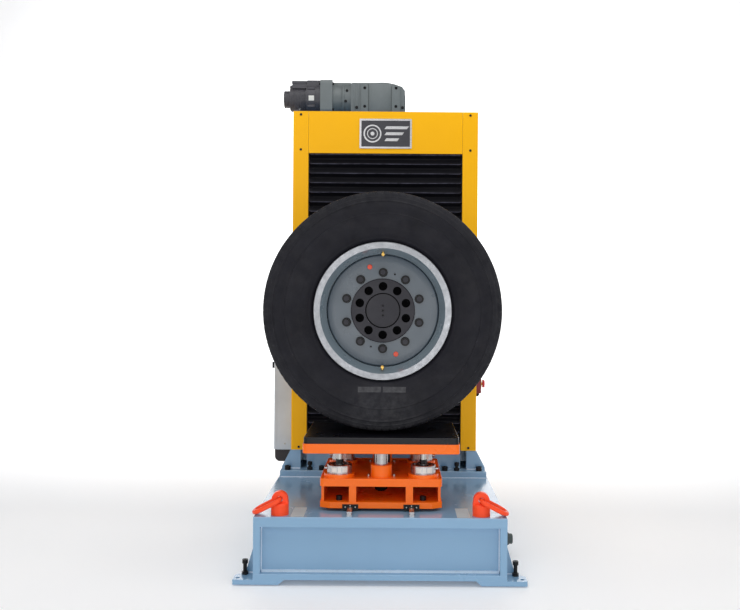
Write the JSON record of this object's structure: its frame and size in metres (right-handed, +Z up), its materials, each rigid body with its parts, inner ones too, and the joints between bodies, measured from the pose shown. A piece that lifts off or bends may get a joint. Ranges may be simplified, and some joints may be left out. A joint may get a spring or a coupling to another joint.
{
  "type": "static tyre test machine",
  "caption": "Static tyre test machine: welded base, yellow-clad lifting tower, truck wheel on a spindle over a sliding load cell platen.",
  "frame": {"origin": "centre of the footprint, on the floor", "axes": "+Z up, +X to the right seen from the front, +Y towards the back"},
  "size_m": [1.204, 1.4, 2.296],
  "materials": {
    "painted_blue": "smooth blue-grey enamel",
    "painted_yellow": "yellow powder coat",
    "painted_orange": "orange enamel",
    "hoist_orange": "red-orange powder coat",
    "black_steel": "black oxide steel",
    "machined_steel": "machined steel",
    "rail_block": "dark rail block with seals",
    "housing_grey": "painted casting",
    "motor_black": "dark motor enamel",
    "chrome": "hard chrome",
    "cell_steel": "ground stainless rim",
    "platen_black": "blackened plate",
    "cabinet_grey": "light grey textured powder coat",
    "black_box": "black moulding",
    "inlet_grey": "grey-green moulding",
    "estop_maroon": "dark red moulding",
    "stop_red": "red mushroom",
    "bellows_rubber": "coated black bellows cloth",
    "nameplate": "dark anodised plate, silver border",
    "tyre": "black tyre rubber",
    "rim_paint": "bright machined flange, painted barrel",
    "wheel_paint": "grey-blue wheel paint",
    "brass": "brass valves, orange plugs"
  },
  "bodies": {
    "root": {"base_top_plate": "painted_blue", "base_bottom_plate": "painted_blue", "base_walls": "painted_blue", "corner_feet": "painted_blue", "levelling_screws": "black_steel", "floor_pads": "machined_steel", "linear_rails": "machined_steel", "traverse_motor": "motor_black", "screw_bearings": "machined_steel", "power_inlet": "inlet_grey", "tower_foot_plate": "painted_blue", "tower_columns": "painted_blue", "tower_plates": "painted_blue", "cover_left": "painted_yellow", "cover_right": "painted_yellow", "cover_header": "painted_yellow", "cover_rear": "painted_yellow", "nameplate": "nameplate", "frame_screws": "black_steel", "bellows_upper": "bellows_rubber", "bellows_lower": "bellows_rubber", "gear_unit": "housing_grey", "motor_adapter": "housing_grey", "motor_body": "motor_black", "cabinet_body": "cabinet_grey", "cabinet_lower_box": "black_box", "estop_box": "estop_maroon"},
    "lift": {"saddle_plate": "painted_blue", "lift_blocks": "rail_block", "ball_nut": "machined_steel", "spindle_housing": "housing_grey", "spindle_bearings": "machined_steel"},
    "lift_screw": {"lift_screw": "machined_steel"},
    "wheel": {"spindle_shaft": "machined_steel", "hub_flange": "black_steel", "wheel_disc": "wheel_paint", "wheel_rim": "rim_paint", "wheel_fasteners": "black_steel", "tyre": "tyre", "wheel_fittings": "brass"},
    "carriage": {"carriage_bottom_plate": "painted_orange", "carriage_ribs": "painted_orange", "carriage_top_plate": "painted_orange", "carriage_blocks": "rail_block", "carriage_screws": "black_steel", "post_sleeve": "painted_orange", "platen_post": "chrome", "load_cells": "cell_steel", "platen_supports": "black_steel", "platen_subplate": "painted_orange", "platen_top": "platen_black", "traverse_nut": "machined_steel"},
    "traverse_screw": {"traverse_screw": "machined_steel"},
    "hoist_left": {"hoist_body_left": "hoist_orange"},
    "hoist_right": {"hoist_body_right": "hoist_orange"},
    "link_left": {"hoist_link_left": "hoist_orange"},
    "link_right": {"hoist_link_right": "hoist_orange"},
    "stop_button": {"estop_button": "stop_red"},
    "door": {"cabinet_door": "cabinet_grey"},
    "latch": {"cabinet_latch": "black_steel"}
  },
  "joints": [
    {"name": "lift_slide", "type": "slide", "parent": "root", "child": "lift", "axis": [0, 0, 1], "range_m": [-0.003, 0.25], "deforming": ["bellows_upper", "bellows_lower"]},
    {"name": "lift_screw_turn", "type": "hinge", "parent": "root", "child": "lift_screw", "pos_m": [0, 0.33, 1.2], "axis": [0, 0, 1], "range_deg": [-55, 4501]},
    {"name": "wheel_spin", "type": "hinge", "parent": "lift", "child": "wheel", "pos_m": [0, -0.387, 1.116], "axis": [0, 1, 0], "continuous": true},
    {"name": "platen_traverse", "type": "slide", "parent": "root", "child": "carriage", "axis": [0, 1, 0], "range_m": [-0.075, 0.075]},
    {"name": "traverse_screw_turn", "type": "hinge", "parent": "root", "child": "traverse_screw", "pos_m": [0, -0.35, 0.18], "axis": [0, 1, 0], "range_deg": [-2701, 2701]},
    {"name": "hoist_swivel_left", "type": "hinge", "parent": "root", "child": "hoist_left", "pos_m": [-0.415, -0.65, 0.3], "axis": [0, 0, 1], "continuous": true},
    {"name": "hoist_swivel_right", "type": "hinge", "parent": "root", "child": "hoist_right", "pos_m": [0.415, -0.65, 0.3], "axis": [0, 0, 1], "continuous": true},
    {"name": "hoist_link_left_swing", "type": "hinge", "parent": "hoist_left", "child": "link_left", "pos_m": [-0.415, -0.65, 0.343], "axis": [0, 1, 0], "range_deg": [0, 230]},
    {"name": "hoist_link_right_swing", "type": "hinge", "parent": "hoist_right", "child": "link_right", "pos_m": [0.415, -0.65, 0.343], "axis": [0, -1, 0], "range_deg": [0, 230]},
    {"name": "stop_button_press", "type": "slide", "parent": "root", "child": "stop_button", "axis": [1, 0, 0], "range_m": [-0.004, 0], "stiffness_N_per_m": 1500},
    {"name": "cabinet_door_hinge", "type": "hinge", "parent": "root", "child": "door", "pos_m": [-0.566, 0.582, 0.75], "axis": [0, 0, -1], "range_deg": [0, 110]},
    {"name": "latch_turn", "type": "hinge", "parent": "door", "child": "latch", "pos_m": [-0.57, 0.309, 0.812], "axis": [1, 0, 0], "range_deg": [0, 90]}
  ],
  "couplings": [
    {"joint": "lift_screw_turn", "follows": "lift_slide", "rad_per_m": 314.16},
    {"joint": "traverse_screw_turn", "follows": "platen_traverse", "rad_per_m": 628.32}
  ]
}
